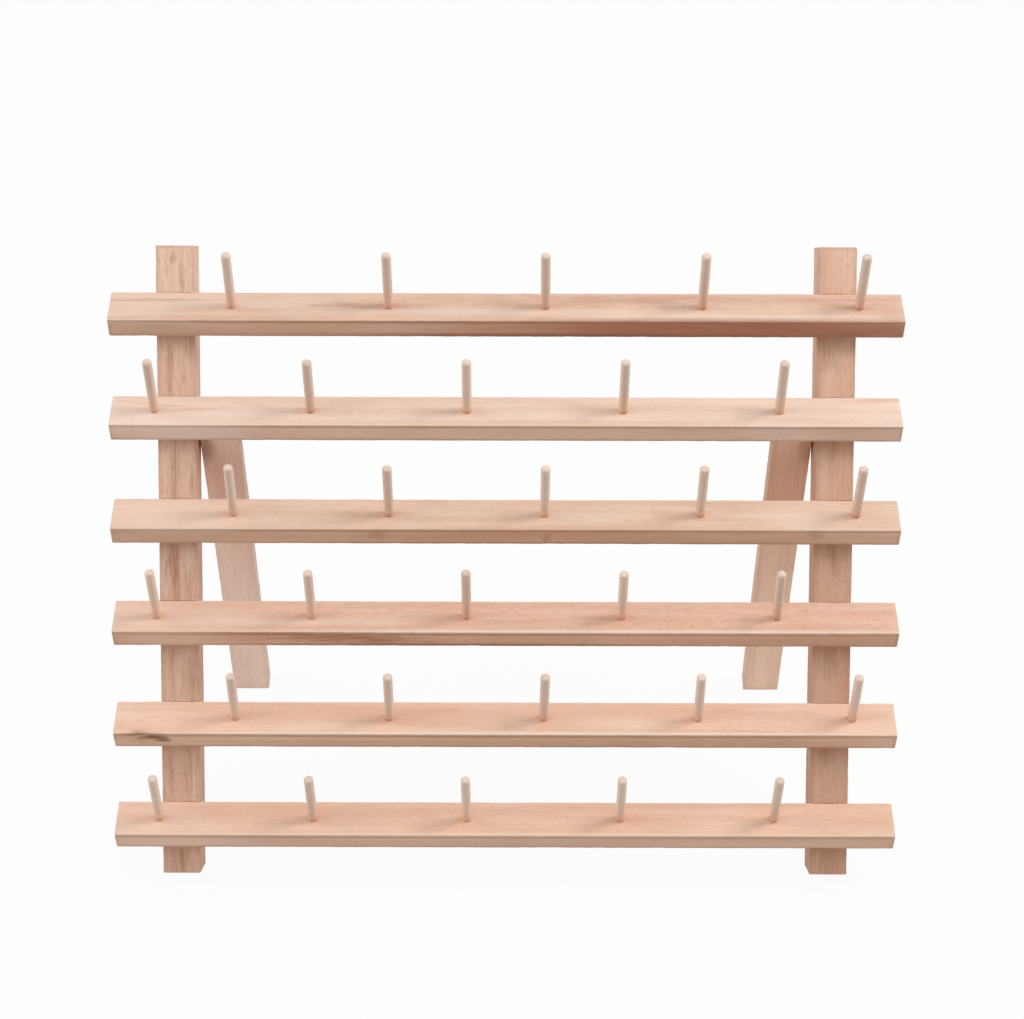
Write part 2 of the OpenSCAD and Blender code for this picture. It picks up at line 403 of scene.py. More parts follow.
def lost_wood(tree, given, edge):
    """How deep sanding and a chip have gone into a strip."""
    here = add(tree, POSITION)
    slow, quick = [
        add(tree, NOISE, {
            "Vector": here, "W": given["Seed"], "Scale": 1 / long, "Detail": 1.0,
        }, noise_dimensions="4D")
        for long in (SLOW_WEAR, QUICK_WEAR)
    ]
    bite = add(tree, MATH, [slow, quick], operation="MULTIPLY")
    bite = add(tree, RANGE, {"Value": bite, **WEAR_RANGE}, interpolation_type="SMOOTHSTEP")
    taken = add(tree, MATH, [bite, edge], operation="MULTIPLY")
    taken = add(tree, MATH, [taken, given["Wear"]], operation="MULTIPLY")

    # a chip is a hollow round one place, with a rim that the quick noise makes ragged
    offset = add(tree, VECTOR, [here, given["Chip Place"]], operation="SUBTRACT")
    offset = add(tree, VECTOR, [offset, given["Chip Reach"]], operation="DIVIDE")
    reach = add(tree, VECTOR, [offset], operation="LENGTH")
    reach = add(tree, MATH, [reach, quick], operation="ADD")
    hollow = add(tree, RANGE, {"Value": reach, **CHIP_RANGE}, interpolation_type="SMOOTHSTEP")
    return add(tree, MATH, [hollow, given["Chip Depth"], taken], operation="MULTIPLY_ADD")


def strip_tree(name):
    """A planed strip along X, eased and sanded, whose points know how near they are to an edge."""
    tree, given = mesh_tree(name, STRIP_SIZES)
    whole = add(tree, JOIN, [given["Length"], given["Width"], given["Thickness"]])
    half = add(tree, VECTOR, [whole, HALF], operation="MULTIPLY")
    bar = rounded_bar(tree, given, half)
    edge = edge_nearness(tree, half)
    back = add(tree, MATH, [lost_wood(tree, given, edge), -1.0], operation="MULTIPLY")
    inward = add(tree, VECTOR, {0: add(tree, "GeometryNodeInputNormal"), "Scale": back}, operation="SCALE")
    worn = add(tree, MOVE, {"Geometry": bar, "Offset": inward})
    marked = add(tree, STORE, {"Geometry": worn, "Name": "edge", "Value": edge}, data_type="FLOAT")
    return end_mesh(tree, marked, given["Material"])


def plain_strip(tree, given):
    """A node that makes a strip inside another tree, from the sizes given to that tree."""
    strip = shared("planed_strip", strip_tree)
    return add(tree, "GeometryNodeGroup", {key: given[key] for key in STRIP_SIZES}, node_tree=strip)


def countersink(tree, given):
    """A cone that opens downwards from its narrow end, and cuts a seat for a screw's head."""
    mouth = add(tree, MATH, [given["Sink Diameter"], 0.5], operation="MULTIPLY")
    bottom = add(tree, MATH, [mouth, given["Sink Depth"]], operation="SUBTRACT")
    return add(tree, CONE, {
        "Vertices": FACETS, "Radius Top": bottom, "Radius Bottom": mouth, "Depth": given["Sink Depth"],
    })


def upright_tree(name):
    """A strip with a notch across its face at each point, and a countersink behind each."""
    tree, given = mesh_tree(name, {
        **STRIP_SIZES, "Notch Size": "Vector", "Notch Turn": "Rotation",
        "Sink Diameter": "Float", "Sink Depth": "Float",
    })
    cutter = add(tree, "GeometryNodeMeshCube", {"Size": given["Notch Size"]})
    corner = add(tree, VECTOR, [given["Notch Size"], (0.0, -0.5, 0.5)], operation="MULTIPLY")
    cutter = add(tree, TRANSFORM, {"Geometry": cutter, "Translation": corner})
    notches = add(tree, ON_POINTS, {
        "Points": given["Geometry"], "Instance": cutter, "Rotation": given["Notch Turn"],
    })
    place = add(tree, SPLIT, [add(tree, POSITION)]).outputs
    behind = add(tree, MATH, [given["Thickness"], -0.5, -PROUD], operation="MULTIPLY_ADD")
    seats = add(tree, JOIN, {"X": place["X"], "Y": place["Y"], "Z": behind})
    backs = add(tree, MOVE, {"Geometry": given["Geometry"], "Position": seats})
    sinks = add(tree, ON_POINTS, {"Points": backs, "Instance": countersink(tree, given)})
    tools = add(tree, REALIZE, [add(tree, JOIN_MESHES, [[notches, sinks]])])
    cut = add(tree, BOOLEAN, {
        "Mesh 1": plain_strip(tree, given), "Mesh 2": tools,
    }, operation="DIFFERENCE", solver="EXACT")
    return end_mesh(tree, cut, given["Material"])


def leg_tree(name):
    """A strip with its top front corner cut off, bored at the point and countersunk on its inner side."""
    tree, given = mesh_tree(name, {
        **STRIP_SIZES, "Nose": "Float", "Inner": "Float", "Bore": "Float",
        "Sink Diameter": "Float", "Sink Depth": "Float",
    })
    side = add(tree, MATH, [given["Nose"], math.sqrt(2)], operation="MULTIPLY")
    wide = add(tree, MATH, [given["Width"], 2.0], operation="MULTIPLY")
    block = add(tree, "GeometryNodeMeshCube", {"Size": add(tree, JOIN, {"X": side, "Y": wide, "Z": side})})
    corner = add(tree, JOIN, {"X": given["Length"], "Z": given["Thickness"]})
    corner = add(tree, VECTOR, [corner, HALF], operation="MULTIPLY")
    nose = add(tree, TRANSFORM, {
        "Geometry": block, "Translation": corner, "Rotation": (0.0, math.radians(45), 0.0),
    })
    radius = add(tree, MATH, [given["Bore"], 0.5], operation="MULTIPLY")
    bore = add(tree, CYLINDER, {"Vertices": BORE_FACETS, "Radius": radius, "Depth": wide})
    half = add(tree, MATH, [given["Width"], -0.5, -PROUD], operation="MULTIPLY_ADD")
    lowered = add(tree, JOIN, {"Z": half})
    sink = add(tree, TRANSFORM, {"Geometry": countersink(tree, given), "Translation": lowered})

    # both lie along Z, and turn to the inner side, which is +Y or -Y
    turn = add(tree, MATH, [given["Inner"], math.radians(90)], operation="MULTIPLY")
    hole = add(tree, BOOLEAN, {"Mesh 2": [bore, sink]}, operation="UNION", solver="EXACT")
    across = add(tree, TRANSFORM, {"Geometry": hole, "Rotation": add(tree, JOIN, {"X": turn})})
    pivots = add(tree, REALIZE, [add(tree, ON_POINTS, {"Points": given["Geometry"], "Instance": across})])
    cut = add(tree, BOOLEAN, {
        "Mesh 1": plain_strip(tree, given), "Mesh 2": [pivots, nose],
    }, operation="DIFFERENCE", solver="EXACT")
    return end_mesh(tree, cut, given["Material"])


# Trees of the pegs and the hardware

# a peg's tip is part of a ball, whose radius is this share of the peg's diameter
DOME_SHARE = 0.54
# each peg leans by up to this angle to each side
PEG_LEAN = math.radians(0.5)
# rings along a peg, the power by which they crowd towards its tip, and its sides
PEG_RINGS = 30
TIP_CROWDING = 2.2
PEG_FACETS = 28
# shares of a screw's diameter for the radius of its point, and of its head's for an arm of the recess
POINT_SHARE = 1 / 6
ARM_SHARE = 0.3
# a recess narrows to this share at its bottom, and its cutter is this many times as tall as it is deep
RECESS_TAPER = 0.75
CUTTER_RISE = 1.3
# steps in the rolled edge of a washer
ROLL_STEPS = 3
# points nearer to each other than this are made one
WELD = 0.005 * MM


def along_axis(tree):
    """The turn that brings Z on to a point's axis."""
    axis = add(tree, NAMED, {"Name": "axis"}, data_type="FLOAT_VECTOR")
    return add(tree, ALIGN, {"Vector": axis}, axis="Z")


def peg_radius(tree, given, height):
    """The radius of a peg at a height: an eased foot, a plain wall and a domed tip."""
    from_tip = add(tree, MATH, [given["Length"], height], operation="SUBTRACT")
    ball = add(tree, MATH, [given["Diameter"], DOME_SHARE], operation="MULTIPLY")
    low = add(tree, MATH, [ball, from_tip], operation="SUBTRACT")
    low = add(tree, MATH, [low, 0.0], operation="MAXIMUM")
    low = add(tree, MATH, [low, 2.0], operation="POWER")
    rise = add(tree, MATH, [ball, 2.0], operation="POWER")
    rise = add(tree, MATH, [rise, low], operation="SUBTRACT")
    rise = add(tree, MATH, [rise, 0.0], operation="MAXIMUM")
    dome = add(tree, MATH, [rise], operation="SQRT")
    wall = add(tree, MATH, [given["Diameter"], 0.5], operation="MULTIPLY")
    foot = add(tree, MATH, [wall, given["Foot Ease"]], operation="SUBTRACT")
    foot = add(tree, MATH, [foot, height], operation="ADD")
    radius = add(tree, MATH, [dome, wall], operation="MINIMUM")
    return add(tree, MATH, [radius, foot], operation="MINIMUM")


def peg_tree(name):
    """A turned peg on each point, along the point's axis, with its own lean and tone."""
    tree, given = mesh_tree(name, {
        "Diameter": "Float", "Length": "Float", "Foot Ease": "Float", "Seed": "Int", "Material": "Material",
    })
    line = add(tree, "GeometryNodeCurvePrimitiveLine", {"End": add(tree, JOIN, {"Z": given["Length"]})})
    line = add(tree, "GeometryNodeResampleCurve", {"Curve": line, "Count": PEG_RINGS}, mode="COUNT")

    # the rings crowd towards the tip, where the dome is
    share = add(tree, "GeometryNodeSplineParameter").outputs["Factor"]
    left = add(tree, MATH, [1.0, share], operation="SUBTRACT")
    left = add(tree, MATH, [left, TIP_CROWDING], operation="POWER")
    left = add(tree, MATH, [left, given["Length"]], operation="MULTIPLY")
    crowd = add(tree, MATH, [given["Length"], left], operation="SUBTRACT")
    line = add(tree, MOVE, {"Geometry": line, "Position": add(tree, JOIN, {"Z": crowd})})
    height = add(tree, SPLIT, [add(tree, POSITION)]).outputs["Z"]
    radius = peg_radius(tree, given, height)
    circle = add(tree, "GeometryNodeCurvePrimitiveCircle", {"Resolution": PEG_FACETS, "Radius": 1.0})
    peg = add(tree, SWEEP, {"Curve": line, "Profile Curve": circle, "Scale": radius, "Fill Caps": True})
    peg = add(tree, MERGE, {"Geometry": peg, "Distance": WELD})
    share = add(tree, MATH, [height, given["Length"]], operation="DIVIDE")
    peg = add(tree, STORE, {"Geometry": peg, "Name": "rise", "Value": share}, data_type="FLOAT")

    # each peg is turned its own way, and leans a little
    spin = add(tree, RANDOM, {
        LEAST_VECTOR: (-PEG_LEAN, -PEG_LEAN, 0.0), MOST_VECTOR: (PEG_LEAN, PEG_LEAN, math.tau),
        "Seed": given["Seed"],
    }, data_type="FLOAT_VECTOR")
    turned = add(tree, TURN, {"Rotation": along_axis(tree), "Rotate By": spin}, rotation_space="LOCAL")
    stood = add(tree, ON_POINTS, {"Points": given["Geometry"], "Instance": peg, "Rotation": turned})
    tone = add(tree, RANDOM, {LEAST: 0.0, MOST: 1.0, "Seed": given["Seed"]}, data_type="FLOAT")
    toned = add(tree, STORE, {
        "Geometry": stood, "Name": "tone", "Value": tone,
    }, data_type="FLOAT", domain="INSTANCE")
    return end_mesh(tree, toned, given["Material"])


def screw_blank(tree, given):
    """A countersunk screw without its recess, hanging down from the middle of its face."""
    shank = add(tree, MATH, [given["Diameter"], 0.5], operation="MULTIPLY")
    head = add(tree, MATH, [given["Head Diameter"], 0.5], operation="MULTIPLY")
    face = add(tree, MATH, [head, given["Rim"]], operation="SUBTRACT")
    flare = add(tree, MATH, [head, shank], operation="SUBTRACT")
    tip = add(tree, MATH, [given["Diameter"], POINT_SHARE], operation="MULTIPLY")
    under = add(tree, MATH, [flare, given["Rim"]], operation="ADD")
    under = add(tree, MATH, [under, given["Diameter"]], operation="ADD")
    body = add(tree, MATH, [given["Length"], under], operation="SUBTRACT")

    # down from the face come the eased rim, the flare, the shank and the point
    parts = [add(tree, "GeometryNodeMeshCircle", {"Vertices": FACETS, "Radius": face}, fill_type="NGON")]
    top = 0.0
    for upper, lower, tall in (
        (face, head, given["Rim"]),
        (head, shank, flare),
        (shank, shank, body),
        (shank, tip, given["Diameter"]),
    ):
        top = add(tree, MATH, [top, tall], operation="SUBTRACT")
        ring = add(tree, CONE, {
            "Vertices": FACETS, "Radius Top": upper, "Radius Bottom": lower, "Depth": tall,
        }, fill_type="NONE")
        parts.append(add(tree, TRANSFORM, {"Geometry": ring, "Translation": add(tree, JOIN, {"Z": top})}))
    end = add(tree, "GeometryNodeMeshCircle", {"Vertices": FACETS, "Radius": tip}, fill_type="NGON")
    end = add(tree, "GeometryNodeFlipFaces", {"Mesh": end})
    parts.append(add(tree, TRANSFORM, {"Geometry": end, "Translation": add(tree, JOIN, {"Z": top})}))
    return add(tree, MERGE, {"Geometry": add(tree, JOIN_MESHES, [parts]), "Distance": WELD})


def cross_recess(tree, given):
    """The cutter of a screw's recess: two crossed slots that narrow towards their bottom."""
    arm = add(tree, MATH, [given["Head Diameter"], ARM_SHARE], operation="MULTIPLY")
    narrow = add(tree, MATH, [given["Recess Width"], 0.5], operation="MULTIPLY")
    # a cone of four sides is a square block, here 2 wide at its top
    slot = add(tree, CONE, {
        "Vertices": 4, "Radius Top": math.sqrt(2), "Radius Bottom": RECESS_TAPER * math.sqrt(2),
        "Depth": CUTTER_RISE,
    })
    slot = add(tree, TRANSFORM, {
        "Geometry": slot, "Translation": (0.0, 0.0, -1.0), "Rotation": (0.0, 0.0, math.radians(45)),
    })
    slots = []
    for x, y in ((arm, narrow), (narrow, arm)):
        spread = add(tree, JOIN, [x, y, given["Recess Depth"]])
        slots.append(add(tree, TRANSFORM, {"Geometry": slot, "Scale": spread}))
    return add(tree, BOOLEAN, {"Mesh 2": slots}, operation="UNION", solver="EXACT")


def screw_tree(name):
    """A countersunk screw on each point, which is the middle of its head, driven against the axis."""
    tree, given = mesh_tree(name, {
        "Diameter": "Float", "Head Diameter": "Float", "Length": "Float", "Rim": "Float",
        "Recess Width": "Float", "Recess Depth": "Float", "Seed": "Int", "Material": "Material",
    })
    screw = add(tree, BOOLEAN, {
        "Mesh 1": screw_blank(tree, given), "Mesh 2": cross_recess(tree, given),
    }, operation="DIFFERENCE", solver="EXACT")

    # every screw stopped at its own angle
    spin = add(tree, RANDOM, {LEAST: 0.0, MOST: math.tau, "Seed": given["Seed"]}, data_type="FLOAT")
    spin = add(tree, JOIN, {"Z": spin})
    driven = add(tree, TURN, {"Rotation": along_axis(tree), "Rotate By": spin}, rotation_space="LOCAL")
    placed = add(tree, ON_POINTS, {"Points": given["Geometry"], "Instance": screw, "Rotation": driven})
    return end_mesh(tree, placed, given["Material"])


def washer_tree(name):
    """A pressed washer on each point, flat across the point's axis, with rolled edges."""
    tree, given = mesh_tree(name, {
        "Diameter": "Float", "Bore": "Float", "Thickness": "Float", "Roll": "Float", "Material": "Material",
    })
    both = add(tree, MATH, [given["Diameter"], given["Bore"]], operation="ADD")
    middle = add(tree, MATH, [both, 0.25], operation="MULTIPLY")
    wall = add(tree, MATH, [given["Diameter"], given["Bore"]], operation="SUBTRACT")
    width = add(tree, MATH, [wall, 0.5], operation="MULTIPLY")
    ring = add(tree, "GeometryNodeCurvePrimitiveCircle", {"Resolution": FACETS, "Radius": middle})
    section = add(tree, "GeometryNodeCurvePrimitiveQuadrilateral", {
        "Width": width, "Height": given["Thickness"],
    })
    section = add(tree, "GeometryNodeFilletCurve", {
        "Curve": section, "Radius": given["Roll"], "Count": ROLL_STEPS,
    }, mode="POLY")
    washer = add(tree, SWEEP, {"Curve": ring, "Profile Curve": section})
    laid = add(tree, ON_POINTS, {
        "Points": given["Geometry"], "Instance": washer, "Rotation": along_axis(tree),
    })
    return end_mesh(tree, laid, given["Material"])


# Materials, with every scale in millimetres in the strip's own frame, X along the grain

# tints that multiply a strip's tone: of late wood, pink patches, flecks and sawn ends, painted shade on narrow
# faces, and dirt
LATE_WOOD = (*linear("DFD1C7"), 1)
PATCH = (*linear("FDF6F0"), 1)
FLECK = (*linear("D4C4B6"), 1)
NARROW_FACE_SHADE = (*linear("E6DDD7"), 1)
EDGE_LINE = (*linear("CBBCAF"), 1)
WHITE = (1, 1, 1, 1)
# reach of the grain's wander, which goes across the strip only
WANDER = (0, 5, 5)
ACROSS = (0, 1, 1)
# width of a growth ring, and how dark it is from its inner side, at 0, to its outer side, at 1
RING_WIDTH = 2.6
RING_SHADES = {0: 0.55, 0.12: 0.05, 0.55: 0.12, 0.86: 0.75, 0.95: 1.0, 1: 0.9}
# how much bands, rings and fibres add to the brown of late wood, and the sum at which it starts to show
BAND_BROWN = 0.45
RING_BROWN = 0.18
FIBRE_BROWN = 0.45
BROWN_START = 0.22
# how deep flecks and rings lie, where a fibre's height is 1
FLECK_HOLLOW = -0.5
RING_HOLLOW = -0.4
# a mark is full within the second distance, in its reaches, and ends at the first
MARK_RANGE = {"From Min": 1.3, "From Max": 0.3}
# the palest and the darkest fibres
FIBRE_RANGE = {"From Min": 0.38, "From Max": 0.62}
# what the palest fibres lose of a mark for each step of its raggedness
STREAKING = -0.35
# a face starts to count as an end or a narrow face at the first of these, and fully does at the second
FACE_RANGE = {"From Min": 0.6, "From Max": 0.95}
# tint that multiplies a plating's tone where it is cloudy
CLOUDED = linear("E5E7EC")


def new_material(name):
    """A material, its node tree and its shader."""
    material = bpy.data.materials.new(name)
    material.use_nodes = True
    return material, material.node_tree, material.node_tree.nodes["Principled BSDF"]


def set_stops(ramp, stops):
    """Gives a ramp its colours: its own stops are at 0 and 1, and the others are added."""
    elements = ramp.color_ramp.elements
    elements[0].color = (*stops[0], 1)
    elements[1].color = (*stops[1], 1)
    for place, tone in stops.items():
        if 0 < place < 1:
            elements.new(place).color = (*tone, 1)


def drawn_out(tree, place, along, across, **noise):
    """A noise drawn out along the grain, with its length and width in millimetres."""
    stretched = add(tree, VECTOR, [place, (1 / along, 1 / across, 1 / across)], operation="MULTIPLY")
    return add(tree, NOISE, {"Vector": stretched, "Scale": 1.0, **noise})


def growth_rings(tree, grain, heart):
    """Rings round the heart of the tree, each darker at its outer side and with its own strength."""
    spoke = add(tree, VECTOR, [grain, heart], operation="SUBTRACT")
    spoke = add(tree, VECTOR, [spoke, ACROSS], operation="MULTIPLY")
    years = add(tree, VECTOR, [spoke], operation="LENGTH")
    years = add(tree, MATH, [years, RING_WIDTH], operation="DIVIDE")
    late = add(tree, RAMP, [add(tree, MATH, [years], operation="FRACT")])
    set_stops(late, {place: (shade, shade, shade) for place, shade in RING_SHADES.items()})
    year = add(tree, MATH, [years], operation="FLOOR")
    strength = add(tree, "ShaderNodeTexWhiteNoise", {"W": year}, noise_dimensions="1D").outputs["Value"]
    return add(tree, MATH, [late, strength], operation="MULTIPLY")


def beech_figure(name):
    """Shader group of plain-sawn beech: rings, soft bands, pinkish patches, fibres and ray flecks."""
    tree, given = new_tree(name, "ShaderNodeTree", {
        "Place": "Vector", "Heart": "Vector", "Tone": "Color", "Shift": "Float", "Mottle": "Float",
        "Fleck": "Float", "Dirt": "Float", "End": "Float", "Side": "Float", "Edge": "Float",
    }, {"Colour": "Color", "Roughness": "Float", "Height": "Float", "Fibre": "Float", "Warp": "Vector"})

    # the grain wanders a millimetre or two to the side over about 90 mm
    drift = drawn_out(tree, given["Place"], along=90, across=26, Detail=2.0).outputs["Color"]
    drift = add(tree, VECTOR, [drift, HALF], operation="SUBTRACT")
    grain = add(tree, VECTOR, [drift, WANDER, given["Place"]], operation="MULTIPLY_ADD")
    ring = growth_rings(tree, grain, given["Heart"])

    # real vessels are 0.06 mm wide and real flecks 0.2 by 2 mm: both are drawn coarser, so that they show
    band = drawn_out(tree, grain, along=130, across=8, Detail=3.0, Roughness=0.55)
    patch = drawn_out(tree, grain, along=45, across=12, Detail=3.0, Roughness=0.6)
    fibre = drawn_out(tree, grain, along=26, across=0.5, Detail=2.0)
    fleck = drawn_out(tree, grain, along=4, across=0.8, Detail=1.0)
    # each shows from the first value of its noise, and fully at the second
    band, patch, fleck = [
        add(tree, RANGE, {"Value": noise, "From Min": low, "From Max": high}, interpolation_type="SMOOTHSTEP")
        for noise, low, high in ((band, 0.3, 0.72), (patch, 0.35, 0.7), (fleck, 0.5, 0.72))
    ]

    # late wood is browner than the tone
    depth = given["Shift"]
    for pattern, brown in ((band, BAND_BROWN), (ring, RING_BROWN), (fibre, FIBRE_BROWN)):
        depth = add(tree, MATH, [pattern, brown, depth], operation="MULTIPLY_ADD")
    depth = add(tree, MATH, [depth, BROWN_START], operation="SUBTRACT", use_clamp=True)
    late = add(tree, MIX, {SHARE: depth, FIRST: WHITE, SECOND: LATE_WOOD}, data_type="RGBA")

    # flecks and sawn end grain are browner, narrow faces are darker by painted shade, and there is a dirty line
    # along each edge
    pink = add(tree, MATH, [patch, given["Mottle"]], operation="MULTIPLY")
    brown = add(tree, MATH, [fleck, given["Fleck"]], operation="MULTIPLY")
    brown = add(tree, MATH, [given["End"], brown], operation="ADD")
    worn = add(tree, MATH, [given["Edge"], fibre], operation="MULTIPLY")
    dirty = add(tree, MATH, [given["Side"], given["Dirt"]], operation="MAXIMUM")
    dirty = add(tree, MATH, [worn, dirty], operation="MULTIPLY")
    hue = given["Tone"]
    for share, tint in (
        (1.0, late), (pink, PATCH), (brown, FLECK), (given["Side"], NARROW_FACE_SHADE), (dirty, EDGE_LINE),
    ):
        mixed = {SHARE: share, FIRST: hue, SECOND: tint}
        hue = add(tree, MIX, mixed, data_type="RGBA", blend_type="MULTIPLY")

    # the other rubbed edges are paler
    clean = add(tree, MATH, [worn, dirty], operation="SUBTRACT", use_clamp=True)
    clean = add(tree, MATH, [clean, band], operation="MULTIPLY")
    hue = add(tree, MIX, {SHARE: clean, FIRST: hue, SECOND: given["Tone"]}, data_type="RGBA")

    # stains run out along the fibres, in tongues
    warp = drawn_out(tree, grain, along=9, across=1.6, Detail=3.0, Roughness=0.65).outputs["Color"]
    warp = add(tree, VECTOR, [warp, HALF], operation="SUBTRACT")
    rough = add(tree, RANGE, {"Value": depth, "To Min": 0.58, "To Max": 0.7})
    height = fibre
    for pattern, hollow in ((fleck, FLECK_HOLLOW), (ring, RING_HOLLOW)):
        height = add(tree, MATH, [pattern, hollow, height], operation="MULTIPLY_ADD")
    add(tree, "NodeGroupOutput", {
        "Colour": hue, "Roughness": rough, "Height": height, "Fibre": fibre, "Warp": warp,
    })
    return tree


def grain_mark(name):
    """Shader group of one stain, streak or knot: a ragged patch round a place, drawn out along a slope."""
    tree, given = new_tree(name, "ShaderNodeTree", {
        "Colour": "Color", "Place": "Vector", "Fibre": "Float", "Warp": "Vector", "Ragged": "Float",
        "Centre": "Vector", "Reach": "Vector", "Slope": "Vector", "Mark": "Color", "Amount": "Float",
    }, {"Colour": "Color"})
    offset = add(tree, VECTOR, [given["Place"], given["Centre"]], operation="SUBTRACT")
    along = add(tree, SPLIT, [offset]).outputs["X"]
    climb = add(tree, VECTOR, {0: given["Slope"], "Scale": along}, operation="SCALE")
    offset = add(tree, VECTOR, [offset, climb], operation="SUBTRACT")
    offset = add(tree, VECTOR, [offset, given["Reach"]], operation="DIVIDE")
    pull = add(tree, VECTOR, {0: given["Warp"], "Scale": given["Ragged"]}, operation="SCALE")
    offset = add(tree, VECTOR, [offset, pull], operation="ADD")
    near = add(tree, VECTOR, [offset], operation="LENGTH")
    mask = add(tree, RANGE, {"Value": near, **MARK_RANGE}, interpolation_type="SMOOTHSTEP")
    # a ragged stain lies in some fibres more than in others
    least = add(tree, MATH, [given["Ragged"], STREAKING, 1.0], operation="MULTIPLY_ADD")
    streak = add(tree, RANGE, {"Value": given["Fibre"], **FIBRE_RANGE, "To Min": least})
    mask = add(tree, MATH, [mask, streak], operation="MULTIPLY")
    mask = add(tree, MATH, [mask, given["Amount"]], operation="MULTIPLY")
    mixed = {SHARE: mask, FIRST: given["Colour"], SECOND: given["Mark"]}
    stained = add(tree, MIX, mixed, data_type="RGBA")
    add(tree, "NodeGroupOutput", {"Colour": stained})
    return tree


def sanded_beech(name, place, tone, look):
    """Sanded, unfinished beech: pale pinkish tan, soft bands, fine flecks along the grain, little shine."""
    material, tree, shader = new_material(name)
    where = add(tree, "ShaderNodeTexCoord").outputs
    # a Mapping of the texture kind brings a point into the strip's own frame, in millimetres
    board = add(tree, "ShaderNodeMapping", {
        "Vector": where["Object"], "Location": place.translation, "Rotation": place.to_euler(),
        "Scale": (MM, MM, MM),
    }, vector_type="TEXTURE")
    # a face that looks along the grain is a sawn end, and one that looks along Y is a narrow face, which gets
    # painted shade
    faces = []
    for axis, most in ((0, look.end), (1, look.narrow)):
        facing = place.col[axis].to_3d()
        facing = add(tree, VECTOR, [where["Normal"], facing], operation="DOT_PRODUCT")
        facing = add(tree, MATH, [facing], operation="ABSOLUTE")
        faces.append(add(tree, RANGE, {"Value": facing, **FACE_RANGE, "To Max": most}))
    edge = add(tree, ATTRIBUTE, attribute_name="edge").outputs["Fac"]
    figure = add(tree, "ShaderNodeGroup", {
        "Place": add(tree, VECTOR, [board, look.offset], operation="ADD"),
        "Heart": look.heart, "Tone": (*tone, 1), "Shift": look.shift, "Mottle": look.mottle,
        "Fleck": look.fleck, "Dirt": look.dirt, "End": faces[0], "Side": faces[1], "Edge": edge,
    }, node_tree=shared("beech_figure", beech_figure), name="figure")
    hue = figure.outputs["Colour"]
    for mark in look.marks:
        hue = add(tree, "ShaderNodeGroup", {
            "Colour": hue, "Place": board, "Fibre": figure.outputs["Fibre"],
            "Warp": figure.outputs["Warp"], "Ragged": mark.ragged,
            "Centre": mark.centre, "Reach": mark.reach, "Slope": mark.slope,
            "Mark": (*linear(mark.colour), 1), "Amount": mark.amount,
        }, node_tree=shared("grain_mark", grain_mark)).outputs["Colour"]
    bump = add(tree, "ShaderNodeBump", {
        "Height": figure.outputs["Height"], "Strength": 0.25, "Distance": 0.15 * MM,
    })
    feed(tree, shader, {
        "Base Color": hue, "Roughness": figure.outputs["Roughness"], "Normal": bump,
        "IOR": 1.5, "Specular IOR Level": 0.25,
    })
    return material


def turned_beech(wood):
    """Turned beech rods: the wood of the strips, with painted shade and warm bounce light at a peg's foot and a
    painted highlight at its tip.
    """
    place = board_turn(PEG_AXIS, RAIL_AXIS).to_4x4()
    material = sanded_beech("turned_beech_pegs", place, wood.peg_middle, LOOKS["pegs"])
    tree = material.node_tree
    # every peg is cut from its own rod, a little darker or paler than the next
    own = add(tree, ATTRIBUTE, attribute_name="tone").outputs["Fac"]
    shift = add(tree, RANGE, {"Value": own, "To Min": -0.3, "To Max": 0.08})
    rise = add(tree, ATTRIBUTE, attribute_name="rise").outputs["Fac"]
    # the peg's base is painted shade, its warm foot painted bounce light and its pale tip a painted highlight
    tones = add(tree, RAMP, [rise])
    set_stops(tones, {
        0: wood.peg_base_shade, 0.08: wood.peg_foot_bounce, 0.4: wood.peg_middle,
        0.94: wood.peg_middle, 0.98: wood.peg_tip_highlight, 1: wood.peg_tip_highlight,
    })
    feed(tree, tree.nodes["figure"], {"Shift": shift, "Tone": tones})
    return material


def zinc_plated_steel(name, tone):
    """Dulled zinc plating on cold-headed screws: a metal of a warm tone, faintly clouded and fine-grained."""
    material, tree, shader = new_material(name)
    where = add(tree, "ShaderNodeTexCoord").outputs["Object"]
    # clouds of about 1.5 mm in the plating, and a grain of 0.15 mm
    cloud = add(tree, NOISE, {"Vector": where, "Scale": 1 / (1.5 * MM), "Detail": 3.0})
    grain = add(tree, NOISE, {"Vector": where, "Scale": 1 / (0.15 * MM), "Detail": 1.0})
    dull = [part * left for part, left in zip(tone, CLOUDED)]
    hue = add(tree, MIX, {SHARE: cloud, FIRST: (*tone, 1), SECOND: (*dull, 1)}, data_type="RGBA")
    rough = add(tree, RANGE, {
        "Value": cloud, "From Min": 0.3, "From Max": 0.7, "To Min": 0.26, "To Max": 0.42,
    })
    bump = add(tree, "ShaderNodeBump", {"Height": grain, "Strength": 0.15, "Distance": 0.03 * MM})
    feed(tree, shader, {"Base Color": hue, "Metallic": 1.0, "Roughness": rough, "Normal": bump})
    return material


# Looks of the strips, in millimetres in each strip's own frame

# a mark's reach is how far it goes each way, its slope how far it climbs for each step along the grain
Mark = namedtuple("Mark", "colour centre reach slope amount ragged")
# offset is where in the tree a strip was cut, heart the tree's middle and shift an even brown; the others
# are the shares of pink patches, brown ends, painted shade on narrow faces, dirty edges and flecks
Look = namedtuple(
    "Look", "offset heart shift mottle end narrow dirt fleck marks",
    defaults=[0.0, 0.7, 0.6, 1.0, 0.0, 0.2, ()],
)
RAIL_SIZE = seat("rail_1", RAIL_TURN)[1] / MM
UPRIGHT_SIZE = seat("upright_left", UPRIGHT_TURN)[1] / MM
LEG_SIZE = seat("leg_left", LEG_TURN)[1] / MM
# how deep a mark goes into the wood, and a reach that takes in all of a strip's section
SKIN = 4.0
ALL = 100
# the darkest painted shade under a rail lies this far below the bottom of its notch
LIP_DROP = 10.0
